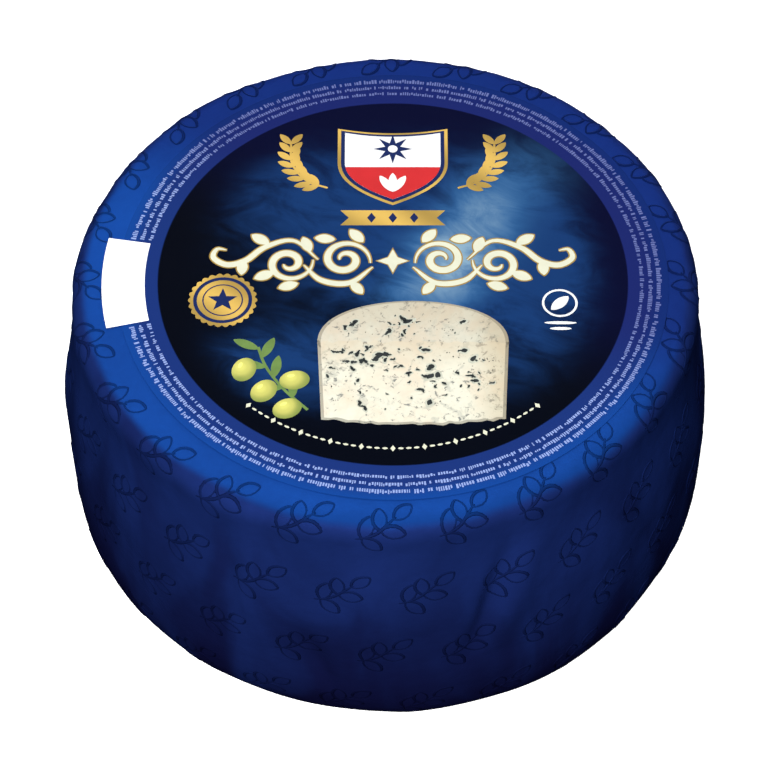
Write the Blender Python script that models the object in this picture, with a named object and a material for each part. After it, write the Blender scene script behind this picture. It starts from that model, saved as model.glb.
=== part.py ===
"""A whole wheel of blue cheese, shut in dark blue foil, with a round label on top.

The foil hugs the cheese and hides all of it, so the two are one solid. A thin
round label lies on the flat top, a little off its middle. A small blank date
label lies across the label's edge, on the wheel's -X side.

Metres, +Z up. The wheel stands on its flat underside, and the origin is the
middle of that face. A direction round the wheel is an angle in degrees from -Y,
growing towards +X.
"""

import math
import random
from collections import namedtuple

import bmesh
import bpy
import numpy as np

MM = 0.001

# The wheel's size
TOP_RADIUS = 94.0 * MM
BELLY_RADIUS = 97.5 * MM
HEIGHT = 106.3 * MM
TOP_DOME = 0.6 * MM

# The rounded edges, each a quarter of a superellipse: its reach inwards, its
# reach up or down the side, and how square it is, where 2 would be round
SHOULDER_INSET = 10.7 * MM
SHOULDER_DROP = 8.7 * MM
SHOULDER_SQUARENESS = 3.6
BASE_INSET = 29.4 * MM
BASE_RISE = 58.3 * MM
BASE_SQUARENESS = 4.0

# The labels. A paper skin keeps a small gap to what it lies on.
SKIN_GAP = 0.3 * MM
SKIN_THICKNESS = 0.2 * MM
LABEL_CENTRE = (2.1 * MM, 0.5 * MM)
LABEL_RADIUS = 83.0 * MM
DATE_INNER_RADIUS = 74.7 * MM
DATE_OUTER_RADIUS = 87.6 * MM
DATE_MIDDLE = -88.7
DATE_HALF_ANGLE = 11.6

# How finely the solids are divided
WHEEL_STEPS = 112
BASE_STEPS = 9
SIDE_STEPS = 5
SHOULDER_STEPS = 6
TOP_STEPS = 3
LABEL_STEPS = 72
LABEL_RINGS = 3
DATE_STEPS = 8

# The wheel is a little out of round. Each swelling repeats round the wheel, with
# a height and the direction of its first crest at the base and at the top.
Swell = namedtuple("Swell", "lobes, base_height, base_crest, top_height, top_crest")
SWELLS = (
    Swell(1, 0.2 * MM, 133.0, 0.4 * MM, -106.0),
    Swell(2, 1.5 * MM, 87.0, 0.9 * MM, -61.0),
    Swell(3, 0.8 * MM, 60.0, 0.2 * MM, -20.0),
    Swell(4, 0.6 * MM, 5.0, 0.2 * MM, -16.0),
)

# Soft folds run up the side. Each goes from a low point to a high point, and a
# fold of negative depth stands out as a ridge.
Fold = namedtuple("Fold", "low, low_direction, high, high_direction, half_width, depth")
FRONT_FOLDS = (
    Fold(34 * MM, 14.0, 98 * MM, 23.5, 4.5, 1.3 * MM),
    Fold(40 * MM, 23.0, 102 * MM, 31.5, 5.0, -0.8 * MM),
    Fold(50 * MM, -27.5, 104 * MM, -27.5, 4.5, 0.9 * MM),
    Fold(18 * MM, -9.5, 64 * MM, -16.0, 4.5, 1.1 * MM),
)
BACK_FOLD_SEED = 7
BACK_FOLD_START = 68.0
BACK_FOLD_END = 312.0
BACK_FOLD_COUNT = 9


def remove_old_objects():
    """Empty the scene, so that only this part's objects are in it."""
    for old in list(bpy.data.objects):
        bpy.data.objects.remove(old, do_unlink=True)


def paint(name, colour, roughness, metallic):
    """A Principled material of one colour."""
    material = bpy.data.materials.new(name)
    material.use_nodes = True
    shader = material.node_tree.nodes["Principled BSDF"]
    shader.inputs["Base Color"].default_value = (*colour, 1.0)
    shader.inputs["Roughness"].default_value = roughness
    shader.inputs["Metallic"].default_value = metallic
    return material


def add_object(name, bm, material, sharp_angle):
    """Turn a bmesh into a named object, smooth except at edges over the angle."""
    bmesh.ops.recalc_face_normals(bm, faces=bm.faces[:])
    mesh = bpy.data.meshes.new(name)
    bm.to_mesh(mesh)
    bm.free()
    mesh.shade_smooth()
    mesh.set_sharp_from_angle(angle=math.radians(sharp_angle))
    mesh.materials.append(material)
    piece = bpy.data.objects.new(name, mesh)
    bpy.context.collection.objects.link(piece)
    return piece


def superellipse(steps, squareness):
    """A quarter turn of x^n + y^n = 1, from (1, 0) to (0, 1)."""
    turn = np.linspace(0.0, math.pi / 2, steps + 1)
    return np.cos(turn) ** (2.0 / squareness), np.sin(turn) ** (2.0 / squareness)


def top_height(radius):
    """Height of the top's low dome at a distance from the wheel's middle."""
    flat_radius = TOP_RADIUS - SHOULDER_INSET
    return HEIGHT + TOP_DOME * (1.0 - min(radius / flat_radius, 1.0) ** 2)


def wheel_profile():
    """Radius and height pairs from the foot's middle, up the side, to the top's."""
    across, along = superellipse(BASE_STEPS, BASE_SQUARENESS)
    base_radii = BELLY_RADIUS - BASE_INSET * (1.0 - across)
    base_heights = BASE_RISE * (1.0 - along)
    base = list(zip(base_radii, base_heights))[::-1]

    share = np.linspace(0.0, 1.0, SIDE_STEPS + 1)[1:-1]
    eased = share * share * (3.0 - 2.0 * share)
    side_radii = BELLY_RADIUS + (TOP_RADIUS - BELLY_RADIUS) * eased
    side_heights = BASE_RISE + (HEIGHT - SHOULDER_DROP - BASE_RISE) * share
    side = list(zip(side_radii, side_heights))

    across, along = superellipse(SHOULDER_STEPS, SHOULDER_SQUARENESS)
    shoulder_radii = TOP_RADIUS - SHOULDER_INSET * (1.0 - across)
    shoulder_heights = HEIGHT - SHOULDER_DROP * (1.0 - along)
    shoulder = list(zip(shoulder_radii, shoulder_heights))

    top_radii = np.linspace(TOP_RADIUS - SHOULDER_INSET, 0.0, TOP_STEPS + 1)[1:]
    top = [(radius, top_height(radius)) for radius in top_radii]
    return [(0.0, 0.0)] + base + side + shoulder + top


def back_folds():
    """Folds on the side that faces away, spread evenly with a seeded wobble."""
    rng = random.Random(BACK_FOLD_SEED)
    spacing = (BACK_FOLD_END - BACK_FOLD_START) / BACK_FOLD_COUNT
    folds = []
    for number in range(BACK_FOLD_COUNT):
        direction = BACK_FOLD_START + spacing * (number + rng.uniform(0.25, 0.75))
        lean = rng.uniform(-8.0, 8.0)
        low = rng.uniform(16.0, 44.0) * MM
        high = rng.uniform(84.0, 102.0) * MM
        depth = rng.choice((1.2, 0.9, -0.8)) * MM
        folds.append(Fold(low, direction, high, direction + lean, 4.5, depth))
    return folds


def swelling(direction, height):
    """Extra radius of the out-of-round wheel, as a share of the radius."""
    up = height / HEIGHT
    extra = 0.0
    for swell in SWELLS:
        base_turn = math.radians(swell.lobes * (direction - swell.base_crest))
        top_turn = math.radians(swell.lobes * (direction - swell.top_crest))
        extra += (1.0 - up) * swell.base_height * math.cos(base_turn)
        extra += up * swell.top_height * math.cos(top_turn)
    return extra / TOP_RADIUS


def folding(direction, height, folds):
    """Change of radius from the folds: a bell across each, fading at its ends."""
    change = 0.0
    for fold in folds:
        share = (height - fold.low) / (fold.high - fold.low)
        if not 0.0 < share < 1.0:
            continue
        middle = fold.low_direction + share * (fold.high_direction - fold.low_direction)
        away = (direction - middle + 180.0) % 360.0 - 180.0
        fade = 0.5 - 0.5 * math.cos(2.0 * math.pi * share)
        change -= fold.depth * fade * math.exp(-((away / fold.half_width) ** 2))
    return change


def build_wheel():
    """The foil and the cheese in it: a turned solid, pushed out of round and folded."""
    bm = bmesh.new()
    points = [bm.verts.new((radius, 0.0, height)) for radius, height in wheel_profile()]
    edges = [bm.edges.new(pair) for pair in zip(points, points[1:])]
    bmesh.ops.spin(
        bm,
        geom=points + edges,
        cent=(0.0, 0.0, 0.0),
        axis=(0.0, 0.0, 1.0),
        angle=2.0 * math.pi,
        steps=WHEEL_STEPS,
        use_merge=True,
    )
    bmesh.ops.remove_doubles(bm, verts=bm.verts[:], dist=0.001 * MM)

    folds = list(FRONT_FOLDS) + back_folds()
    for vert in bm.verts:
        radius = math.hypot(vert.co.x, vert.co.y)
        if radius == 0.0:
            continue
        direction = math.degrees(math.atan2(vert.co.x, -vert.co.y))
        grown = radius * (1.0 + swelling(direction, vert.co.z))
        grown += folding(direction, vert.co.z, folds)
        vert.co.x *= grown / radius
        vert.co.y *= grown / radius

    foil = paint("blue_foil", (0.012, 0.045, 0.24), 0.32, 0.35)
    return add_object("wrapped_wheel", bm, foil, 50.0)


def thicken(bm):
    """Extrude a flat skin upwards to its thickness, as one closed solid."""
    skin = bmesh.ops.extrude_face_region(bm, geom=bm.faces[:], use_keep_orig=True)
    raised = [item for item in skin["geom"] if isinstance(item, bmesh.types.BMVert)]
    bmesh.ops.translate(bm, verts=raised, vec=(0.0, 0.0, SKIN_THICKNESS))


def build_top_label():
    """The round label: concentric rings that follow the top's low dome."""
    bm = bmesh.new()
    bmesh.ops.create_circle(
        bm, cap_ends=True, cap_tris=True, radius=LABEL_RADIUS / LABEL_RINGS, segments=LABEL_STEPS
    )
    for ring in range(1, LABEL_RINGS):
        rim = [edge for edge in bm.edges if edge.is_boundary]
        grown = bmesh.ops.extrude_edge_only(bm, edges=rim)
        outer = [item for item in grown["geom"] if isinstance(item, bmesh.types.BMVert)]
        widen = (ring + 1.0) / ring
        bmesh.ops.scale(bm, verts=outer, vec=(widen, widen, 1.0))
    for vert in bm.verts:
        vert.co.x += LABEL_CENTRE[0]
        vert.co.y += LABEL_CENTRE[1]
        vert.co.z = top_height(math.hypot(vert.co.x, vert.co.y)) + SKIN_GAP
    thicken(bm)

    printed = paint("label_print", (0.010, 0.020, 0.060), 0.38, 0.0)
    return add_object("top_label", bm, printed, 50.0)


def build_date_label():
    """The blank date label: part of a ring, lying across the round label's edge."""
    bm = bmesh.new()
    turns = np.radians(
        DATE_MIDDLE + np.linspace(-DATE_HALF_ANGLE, DATE_HALF_ANGLE, DATE_STEPS + 1)
    )
    rows = []
    for radius in (DATE_INNER_RADIUS, LABEL_RADIUS, DATE_OUTER_RADIUS):
        row = []
        for turn in turns:
            x = LABEL_CENTRE[0] + radius * math.sin(turn)
            y = LABEL_CENTRE[1] - radius * math.cos(turn)
            z = top_height(math.hypot(x, y)) + 2.0 * SKIN_GAP + SKIN_THICKNESS
            row.append(bm.verts.new((x, y, z)))
        rows.append(row)
    for inner, outer in zip(rows, rows[1:]):
        for step in range(DATE_STEPS):
            bm.faces.new((inner[step], inner[step + 1], outer[step + 1], outer[step]))
    thicken(bm)

    blank = paint("blank_paper", (0.92, 0.93, 0.94), 0.55, 0.0)
    return add_object("date_label", bm, blank, 50.0)


def main():
    """Build the wheel and the two labels that lie on it."""
    remove_old_objects()
    build_wheel()
    build_top_label()
    build_date_label()


if __name__ == "__main__":
    main()
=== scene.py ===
"""Dresses a foil-wrapped wheel of blue cheese: its foil, its labels and their print.

The file is laid out as a Blender add-on and run as a script. Every piece is a
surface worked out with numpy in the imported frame, in metres with +Z up. A
direction round the wheel is called its turn: 0 at -Y, growing towards +X. A place
down the foil is called its reach: the length along the foil from the top's middle.
"""

import math
import random

import bmesh
import bpy
import numpy as np
from bpy.props import FloatProperty, FloatVectorProperty, IntProperty, PointerProperty
from bpy.types import Operator, Panel, PropertyGroup
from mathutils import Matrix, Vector


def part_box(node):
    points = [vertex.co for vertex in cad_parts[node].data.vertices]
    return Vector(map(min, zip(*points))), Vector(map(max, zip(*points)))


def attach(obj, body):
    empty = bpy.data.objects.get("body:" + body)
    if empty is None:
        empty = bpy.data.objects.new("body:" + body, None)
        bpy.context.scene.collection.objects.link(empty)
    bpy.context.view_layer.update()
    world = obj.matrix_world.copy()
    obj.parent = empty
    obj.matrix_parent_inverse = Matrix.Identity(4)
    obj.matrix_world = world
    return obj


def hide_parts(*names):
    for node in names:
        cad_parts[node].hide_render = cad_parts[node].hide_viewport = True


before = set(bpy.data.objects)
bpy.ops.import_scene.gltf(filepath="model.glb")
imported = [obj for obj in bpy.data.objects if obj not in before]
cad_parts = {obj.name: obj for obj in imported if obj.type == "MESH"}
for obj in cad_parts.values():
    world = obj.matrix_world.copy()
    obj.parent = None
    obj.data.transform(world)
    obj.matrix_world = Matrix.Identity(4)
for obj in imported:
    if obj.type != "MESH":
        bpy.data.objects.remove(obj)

bl_info = {
    "name": "Wrapped Cheese Wheel",
    "version": (1, 0, 0),
    "blender": (4, 5, 0),
    "location": "View3D > Sidebar > Cheese Wheel",
    "description": "Builds a foil-wrapped wheel of blue cheese with a printed label",
    "category": "Add Mesh",
}

MM = 0.001
MM_IN_METRE = 1000.0
WHEEL_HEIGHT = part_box("wrapped_wheel")[1][2]
LABEL_LOW, LABEL_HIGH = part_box("top_label")
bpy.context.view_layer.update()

# How deep a printed layer goes, in ink steps
LAYER_DEPTH = 0.8

# Seeds for what is drawn by chance
RELIEF_SEED = 11
BACK_FOLD_SEED = 7
PRINT_SEED = 5
FACE_SEED = 3
VEIN_SEED = 21


# Properties

def length(name, description, default):
    """A size in metres, as a property."""
    return FloatProperty(
        name=name, description=description, default=default, min=0.0, precision=5,
        subtype="DISTANCE", unit="LENGTH",
    )


def power(name, description, default):
    """A superellipse's power, as a property."""
    return FloatProperty(name=name, description=description, default=default, min=1.5, max=8.0)


def angle_size(name, description, degrees):
    """An angle given in degrees, as a property."""
    return FloatProperty(
        name=name, description=description, default=math.radians(degrees), subtype="ANGLE",
        unit="ROTATION",
    )


def whole_number(name, description, default, low, high):
    """A whole number, as a property."""
    return IntProperty(name=name, description=description, default=default, min=low, max=high)


def colour(name, default):
    """A linear colour, as a property."""
    return FloatVectorProperty(
        name=name, default=default, size=3, min=0.0, max=1.0, subtype="COLOR",
    )


class WheelSizes(PropertyGroup):
    """The wheel's form and the relief of its foil."""

    top_dome: length("Top dome", "Rise of the top's middle over its rim", 0.6 * MM)
    top_radius: length("Top radius", "Radius of the upright side under the shoulder", 94.0 * MM)
    belly_radius: length("Belly radius", "Radius of the side where it is widest", 97.5 * MM)
    shoulder_inset: length("Shoulder inset", "Reach of the top edge's rounding inwards", 10.7 * MM)
    shoulder_drop: length("Shoulder drop", "Reach of the top edge's rounding downwards", 8.7 * MM)
    base_inset: length("Base inset", "Reach of the lower rounding inwards", 29.4 * MM)
    base_rise: length("Base rise", "Reach of the lower rounding upwards", 58.3 * MM)
    shoulder_squareness: power("Shoulder squareness", "Superellipse power of the top edge", 3.6)
    base_squareness: power("Base squareness", "Superellipse power of the lower edge", 4.0)
    dent_height: length("Dents", "Height of the broad soft dents in the side", 0.09 * MM)
    pucker_height: length("Puckers", "Height of the foil's puckers over the shoulder", 0.06 * MM)
    crease_height: length("Creases", "Height of the short creases in the side", 0.16 * MM)
    pleat_depth: length("Pleats", "Depth of the gathers under the wheel", 1.3 * MM)
    crease_count: whole_number("Crease count", "How many short creases the side has", 110, 0, 400)
    pleat_count: whole_number("Pleat count", "How many gathers the foil has under the wheel", 34, 3, 90)


class EmbossSizes(PropertyGroup):
    """The sprig pattern pressed into the foil."""

    columns: whole_number("Columns", "Sprigs round the wheel in each row", 24, 1, 90)
    rows: whole_number("Rows", "Rows of sprigs", 4, 1, 8)
    first_reach: length("First row", "Reach of the top row's middle", 91.5 * MM)
    pitch: length("Row pitch", "Distance from row to row down the foil", 29.0 * MM)
    half_length: length("Half length", "Half the length of a sprig's stem", 9.8 * MM)
    line_width: length("Line width", "Width of the pressed line", 1.20 * MM)
    line_height: length("Line height", "How far the pressed line stands out", 0.25 * MM)
    tilt: angle_size("Tilt", "Slope of a sprig, rising to the right", 28.0)


class LabelSizes(PropertyGroup):
    """The round label, its print and the blank date label."""

    lift: length("Lift", "Height of the label's face over the foil", 0.32 * MM)
    thickness: length("Thickness", "Thickness of the label's paper", 0.18 * MM)
    ripple: length("Ripple", "Height of the ripples near the label's rim", 0.07 * MM)
    ink: length("Ink step", "Height of each printed layer over the one below", 0.03 * MM)
    disc_radius: length("Disc radius", "Radius of the navy disc", 70.8 * MM)
    first_row: length("First print row", "Radius of the innermost row of fine print", 75.0 * MM)
    row_pitch: length("Print row pitch", "Distance between rows of fine print", 2.6 * MM)
    date_inner: length("Date inner radius", "Inner radius of the date label", 74.7 * MM)
    date_outer: length("Date outer radius", "Outer radius of the date label", 87.6 * MM)
    date_middle: angle_size("Date direction", "Direction of the date label's middle", -88.7)
    date_half_angle: angle_size("Date half angle", "Half the angle that the date label covers", 11.6)


class WheelColours(PropertyGroup):
    """The linear colours of the foil, the paper and the inks.

    Those named far off are painted shade for the back right, where the top is painted darker. The foil's
    top, side and base colours are painted light and shade: a brighter top, a darker side and a darker base
    still.
    """

    # Painted light and shade: the foil's top is painted brighter than its side, and its base darker still
    foil_top: colour("Foil on top", (0.008, 0.060, 0.310))
    foil_side: colour("Foil on the side", (0.0105, 0.027, 0.150))
    foil_base: colour("Foil at the base", (0.0058, 0.0056, 0.040))
    # Painted shade: the top's blue painted darker towards the back right
    foil_far_shade: colour("Foil far off", (0.0076, 0.027, 0.170))
    border: colour("Label border", (0.0065, 0.0210, 0.118))
    # Painted shade: the label's border and rim painted darker towards the back right
    border_far_shade: colour("Label border far off", (0.0068, 0.0125, 0.090))
    rim: colour("Label rim", (0.0039, 0.037, 0.196))
    rim_far_shade: colour("Label rim far off", (0.0036, 0.0152, 0.101))
    navy: colour("Label disc", (0.0050, 0.0260, 0.100))
    night: colour("Label disc's edge", (0.0004, 0.0010, 0.0035))
    # Painted shade: the disc's edge painted darker towards the back right
    night_far_shade: colour("Label disc's edge far off", (0.0009, 0.0016, 0.0150))
    halo: colour("Label halo", (0.0200, 0.0800, 0.200))
    glow: colour("Label glow", (0.180, 0.285, 0.370))
    fine_ink: colour("Fine print", (0.190, 0.255, 0.490))
    paper: colour("Paper", (0.900, 0.910, 0.920))
    cream: colour("Cream", (0.510, 0.515, 0.400))
    paste: colour("Cheese paste", (0.572, 0.560, 0.462))
    gold: colour("Gold", (0.415, 0.270, 0.062))
    red: colour("Red", (0.420, 0.017, 0.020))
    vein: colour("Vein", (0.020, 0.024, 0.025))
    bloom: colour("Bloom", (0.400, 0.410, 0.340))
    olive: colour("Olive", (0.400, 0.390, 0.095))
    leaf: colour("Leaf", (0.100, 0.170, 0.045))
    floor: colour("Floor", (0.930, 0.930, 0.930))


# Meshes

class Shape:
    """Vertices and faces gathered from arrays, to be one mesh in the end."""

    def __init__(self):
        self.points = []
        self.faces = []
        self.count = 0

    def add(self, points, faces):
        """Add an array of points and a list of arrays of faces that index them."""
        for block in faces:
            self.faces.extend((block + self.count).tolist())
        self.points.append(points)
        self.count += len(points)

    def add_tubes(self, rings, closed=False):
        """Add tubes, given as copies by rows by columns of points.

        Squares join each row to the next, and the last column to the first.
        A closed tube's last row meets its first, and an open one gets a face at
        each end.
        """
        copies, rows, columns = rings.shape[:3]
        index = np.arange(copies * rows * columns).reshape(copies, rows, columns)
        after = np.roll(index, -1, axis=2)
        squares = np.stack([index, after, np.roll(after, -1, axis=1), np.roll(index, -1, axis=1)], axis=-1)
        if closed:
            blocks = [squares.reshape(-1, 4)]
        else:
            blocks = [squares[:, :-1].reshape(-1, 4), index[:, 0, ::-1], index[:, -1]]
        self.add(rings.reshape(-1, 3), blocks)

    def add_poled(self, first, rings, last):
        """Add a closed surface: a pole, rings of points and the other pole."""
        rows, columns = rings.shape[:2]
        index = 1 + np.arange(rows * columns).reshape(rows, columns)
        after = np.roll(index, -1, axis=1)
        end = 1 + rows * columns
        squares = np.stack([index[:-1], after[:-1], after[1:], index[1:]], axis=-1)
        start_fan = np.stack([np.zeros(columns, int), after[0], index[0]], axis=-1)
        end_fan = np.stack([index[-1], after[-1], np.full(columns, end)], axis=-1)
        points = np.concatenate([first[None], rings.reshape(-1, 3), last[None]])
        self.add(points, [squares.reshape(-1, 4), start_fan, end_fan])

    def piece(self, name, material, sharp=42.0):
        """Make the mesh and its object, with its faces turned outwards."""
        mesh = bpy.data.meshes.new(name)
        mesh.from_pydata(np.concatenate(self.points).tolist(), [], self.faces)
        form = bmesh.new()
        form.from_mesh(mesh)
        bmesh.ops.recalc_face_normals(form, faces=form.faces)
        form.to_mesh(mesh)
        form.free()
        mesh.shade_smooth()
        mesh.set_sharp_from_angle(angle=math.radians(sharp))
        mesh.materials.append(material)
        obj = bpy.data.objects.new(name, mesh)
        bpy.context.scene.collection.objects.link(obj)
        return obj


def dress(obj, slot, *nodes):
    """Let a piece ride on the part and stand for nodes, whose parts it hides. The slot is not used."""
    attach(obj, "root")
    if nodes:
        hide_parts(*nodes)


def smoothstep(low, high, value):
    """0 below low, 1 above high, and an S-curve between them."""
    share = np.clip((value - low) / (high - low), 0.0, 1.0)
    return share * share * (3.0 - 2.0 * share)


def bell(value, width):
    """1 at 0, falling away on both sides as exp(-(value / width)^2)."""
    return np.exp(-((value / width) ** 2))


def wrapped(turn):
    """An angle brought between minus and plus half a turn."""
    return (turn + np.pi) % (2.0 * np.pi) - np.pi


def loop(count):
    """Angles once round, without the repeated end."""
    return np.linspace(0.0, 2.0 * np.pi, count, endpoint=False)


def unit(vectors):
    """Vectors brought to a length of 1."""
    return vectors / np.linalg.norm(vectors, axis=-1, keepdims=True)


def strides(path, closed, axis):
    """The way along a path at each point, from the point before to the one after."""
    if closed:
        return np.roll(path, -1, axis=axis) - np.roll(path, 1, axis=axis)
    return np.gradient(path, axis=axis)


def heading(path, start, end):
    """The angle of the line from one of a flat path's points to another."""
    step = path[end] - path[start]
    return math.atan2(step[1], step[0])


# The foil's form

# Each swelling: how often it repeats, then height and first crest in degrees at
# the base, and the same at the top
SWELLS = (
    (1, 0.2 * MM, 133.0, 0.4 * MM, -106.0),
    (2, 1.5 * MM, 87.0, 0.9 * MM, -61.0),
    (3, 0.8 * MM, 60.0, 0.2 * MM, -20.0),
    (4, 0.6 * MM, 5.0, 0.2 * MM, -16.0),
)

# Each fold: low height and its direction, high height and its direction, half
# width in degrees and depth, where a negative depth is a ridge
FRONT_FOLDS = (
    (34 * MM, 14.0, 98 * MM, 23.5, 2.1, 2.2 * MM),
    (40 * MM, 20.5, 102 * MM, 29.5, 3.0, -1.2 * MM),
    (50 * MM, -28.5, 104 * MM, -28.5, 1.8, 0.9 * MM),
    (24 * MM, -22.0, 102 * MM, -24.5, 3.4, -0.9 * MM),
    (18 * MM, -9.5, 64 * MM, -16.0, 2.4, 1.7 * MM),
)
BACK_FOLD_START = 68.0
BACK_FOLD_END = 312.0
BACK_FOLD_COUNT = 9

# Reach of the puckers past the shoulder, and how fast they sway there
PUCKER_REACH = 9.0 * MM
PUCKER_SWAY = 250.0

# How much a crease bends, and how far a pleat turns on its way to the middle
CREASE_BEND = 0.06
PLEAT_TWIST = 0.35


def back_folds():
    """Folds on the side that faces away, spread evenly with a seeded wobble."""
    rng = random.Random(BACK_FOLD_SEED)
    spacing = (BACK_FOLD_END - BACK_FOLD_START) / BACK_FOLD_COUNT
    folds = []
    for number in range(BACK_FOLD_COUNT):
        direction = BACK_FOLD_START + spacing * (number + rng.uniform(0.25, 0.75))
        lean = rng.uniform(-8.0, 8.0)
        low = rng.uniform(16.0, 44.0) * MM
        high = rng.uniform(84.0, 102.0) * MM
        depth = rng.choice((1.2, 0.9, -0.8)) * MM
        folds.append((low, direction, high, direction + lean, 4.5, depth))
    return folds


def quarter(squareness):
    """A quarter turn of the superellipse x^n + y^n = 1, from (0, 1) to (1, 0)."""
    turn = np.linspace(np.pi / 2, 0.0, 240)
    return np.cos(turn) ** (2.0 / squareness), np.sin(turn) ** (2.0 / squareness)


class Foil:
    """The foil's surface as a function of turn and reach."""

    def __init__(self, sizes):
        self.sizes = sizes
        self.rim = WHEEL_HEIGHT - sizes.top_dome
        self.flat = sizes.top_radius - sizes.shoulder_inset
        self.build_profile()
        self.folds = list(FRONT_FOLDS) + back_folds()
        self.draw_relief()

    def dome(self, distance):
        """Height of the top's low dome at a distance from the middle."""
        share = np.minimum(distance / self.flat, 1.0)
        return self.rim + self.sizes.top_dome * (1.0 - share ** 2)

    def build_profile(self):
        """Radius and height against reach: dome, shoulder, side, base and foot."""
        s = self.sizes
        top = np.linspace(0.0, self.flat, 60)
        across, along = quarter(s.shoulder_squareness)
        shoulder = (self.flat + s.shoulder_inset * across, self.rim - s.shoulder_drop * (1.0 - along))
        share = np.linspace(0.0, 1.0, 80)
        side_top = self.rim - s.shoulder_drop
        side = (
            s.top_radius + (s.belly_radius - s.top_radius) * smoothstep(0.0, 1.0, share),
            side_top + (s.base_rise - side_top) * share,
        )
        across, along = quarter(s.base_squareness)
        base = (s.belly_radius - s.base_inset * (1.0 - across[::-1]), s.base_rise * (1.0 - along[::-1]))
        foot = np.linspace(s.belly_radius - s.base_inset, 0.0, 60)
        radius = np.concatenate([top, shoulder[0], side[0], base[0], foot])
        height = np.concatenate([self.dome(top), shoulder[1], side[1], base[1], 0.0 * foot])
        step = np.hypot(np.diff(radius), np.diff(height))
        keep = np.concatenate([[True], step > 1e-7])
        self.radius = radius[keep]
        self.height = height[keep]
        step = np.hypot(np.diff(self.radius), np.diff(self.height))
        self.reach = np.concatenate([[0.0], np.cumsum(step)])
        self.end = self.reach[-1]
        self.shoulder_reach = np.interp(-self.rim + 0.3 * s.shoulder_drop, -self.height, self.reach)
        self.foot_reach = self.end - (s.belly_radius - s.base_inset)

    def draw_relief(self):
        """Draw the seeded dents, puckers, creases and gathers.

        A dent: repeats round the wheel, climb, phase and share of the height. A
        pucker: repeats, phase, share and sway. A crease: turn, reach, slope, length,
        width and share.
        """
        rng = np.random.default_rng(RELIEF_SEED)
        s = self.sizes
        self.dents = [
            (rng.integers(4, 19), rng.uniform(-90.0, 90.0), rng.uniform(0.0, 6.3), rng.uniform(0.5, 1.0))
            for _ in range(14)
        ]
        self.puckers = [
            (k, rng.uniform(0.0, 6.3), rng.uniform(0.6, 1.0), rng.uniform(0.0, 1.5) * MM)
            for k in (23, 37, 44, 59, 71)
        ]
        self.creases = [
            (
                rng.uniform(-np.pi, np.pi),
                rng.uniform(self.shoulder_reach - 2.0 * MM, self.foot_reach - 20.0 * MM),
                rng.normal(0.5 * np.pi, 0.5),
                rng.uniform(8.0, 34.0) * MM,
                rng.uniform(2.6, 5.0) * MM,
                rng.choice((-1.0, 1.0)) * rng.uniform(0.35, 1.0),
            )
            for _ in range(s.crease_count)
        ]
        self.pleat_shift = rng.uniform(-0.3, 0.3, s.pleat_count)

    def swelling(self, turn, height):
        """Extra radius as a share: a sum of cosines, blended from base to top."""
        up = height / WHEEL_HEIGHT
        extra = 0.0
        for lobes, base_height, base_crest, top_height, top_crest in SWELLS:
            extra = extra + (1.0 - up) * base_height * np.cos(lobes * (turn - math.radians(base_crest)))
            extra = extra + up * top_height * np.cos(lobes * (turn - math.radians(top_crest)))
        return extra / self.sizes.top_radius

    def folding(self, turn, height):
        """Change of radius from the folds: a bell across each, fading at its ends."""
        change = np.zeros(np.broadcast(turn, height).shape)
        for low, low_direction, high, high_direction, half_width, depth in self.folds:
            share = np.clip((height - low) / (high - low), 0.0, 1.0)
            middle = np.radians(low_direction + share * (high_direction - low_direction))
            fade = 0.5 - 0.5 * np.cos(2.0 * np.pi * share)
            change -= depth * fade * bell(wrapped(turn - middle), math.radians(half_width))
        return change

    def gathers(self, turn, radius):
        """Gathered foil under the wheel, as a depth from 0 at the ridges down to 1.

        Each pleat is a saw tooth with a steep and a slow side, and the pleats
        turn a little as they run in towards the middle.
        """
        twisted = turn + PLEAT_TWIST * (1.0 - radius / self.sizes.belly_radius) ** 2
        place = (twisted / (2.0 * np.pi) % 1.0) * self.sizes.pleat_count
        number = np.floor(place).astype(int) % self.sizes.pleat_count
        share = place - np.floor(place)
        lean = 0.62 + 0.5 * self.pleat_shift[number]
        tooth = np.where(share < lean, share / lean, (1.0 - share) / (1.0 - lean))
        return 1.0 - tooth ** 1.5

    def relief(self, turn, reach, radius, height):
        """Height of the fine relief over the plain form, along its normal.

        Dents and puckers are sums of cosines, and the puckers sway as they run over
        the shoulder. A crease is a bell across a short bent line.
        """
        s = self.sizes
        on_side = smoothstep(self.flat + 2.0 * MM, s.top_radius - 2.0 * MM, radius)
        on_side = on_side * smoothstep(1.0 * MM, 9.0 * MM, height)
        rise = np.zeros(turn.shape)
        for k, climb, phase, size in self.dents:
            rise += s.dent_height * size * np.cos(k * turn + climb * height + phase) * on_side
        past = reach - self.shoulder_reach
        over = bell(past, PUCKER_REACH)
        for k, phase, size, sway in self.puckers:
            wave = np.cos(k * turn + phase + PUCKER_SWAY * past * np.sin(3.0 * turn + sway))
            rise += s.pucker_height * 0.45 * size * wave * over
        for middle, centre, slope, reach_along, width, size in self.creases:
            right = wrapped(turn - middle) * s.top_radius
            down = reach - centre
            along = right * np.cos(slope) + down * np.sin(slope)
            across = down * np.cos(slope) - right * np.sin(slope)
            across = across + CREASE_BEND * along ** 2 / reach_along
            fade = smoothstep(1.0, 0.3, np.abs(along) / reach_along)
            rise += s.crease_height * size * bell(across, width) * fade * on_side
        under = smoothstep(7.0 * MM, 1.0 * MM, height) * smoothstep(0.0, 1.0 * MM, self.end - reach)
        near = smoothstep(s.belly_radius, s.belly_radius - 26.0 * MM, radius)
        near = near * smoothstep(6.0 * MM, 26.0 * MM, radius)
        rise -= s.pleat_depth * self.gathers(turn, radius) * near * under * (past > 0.0)
        return rise

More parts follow.
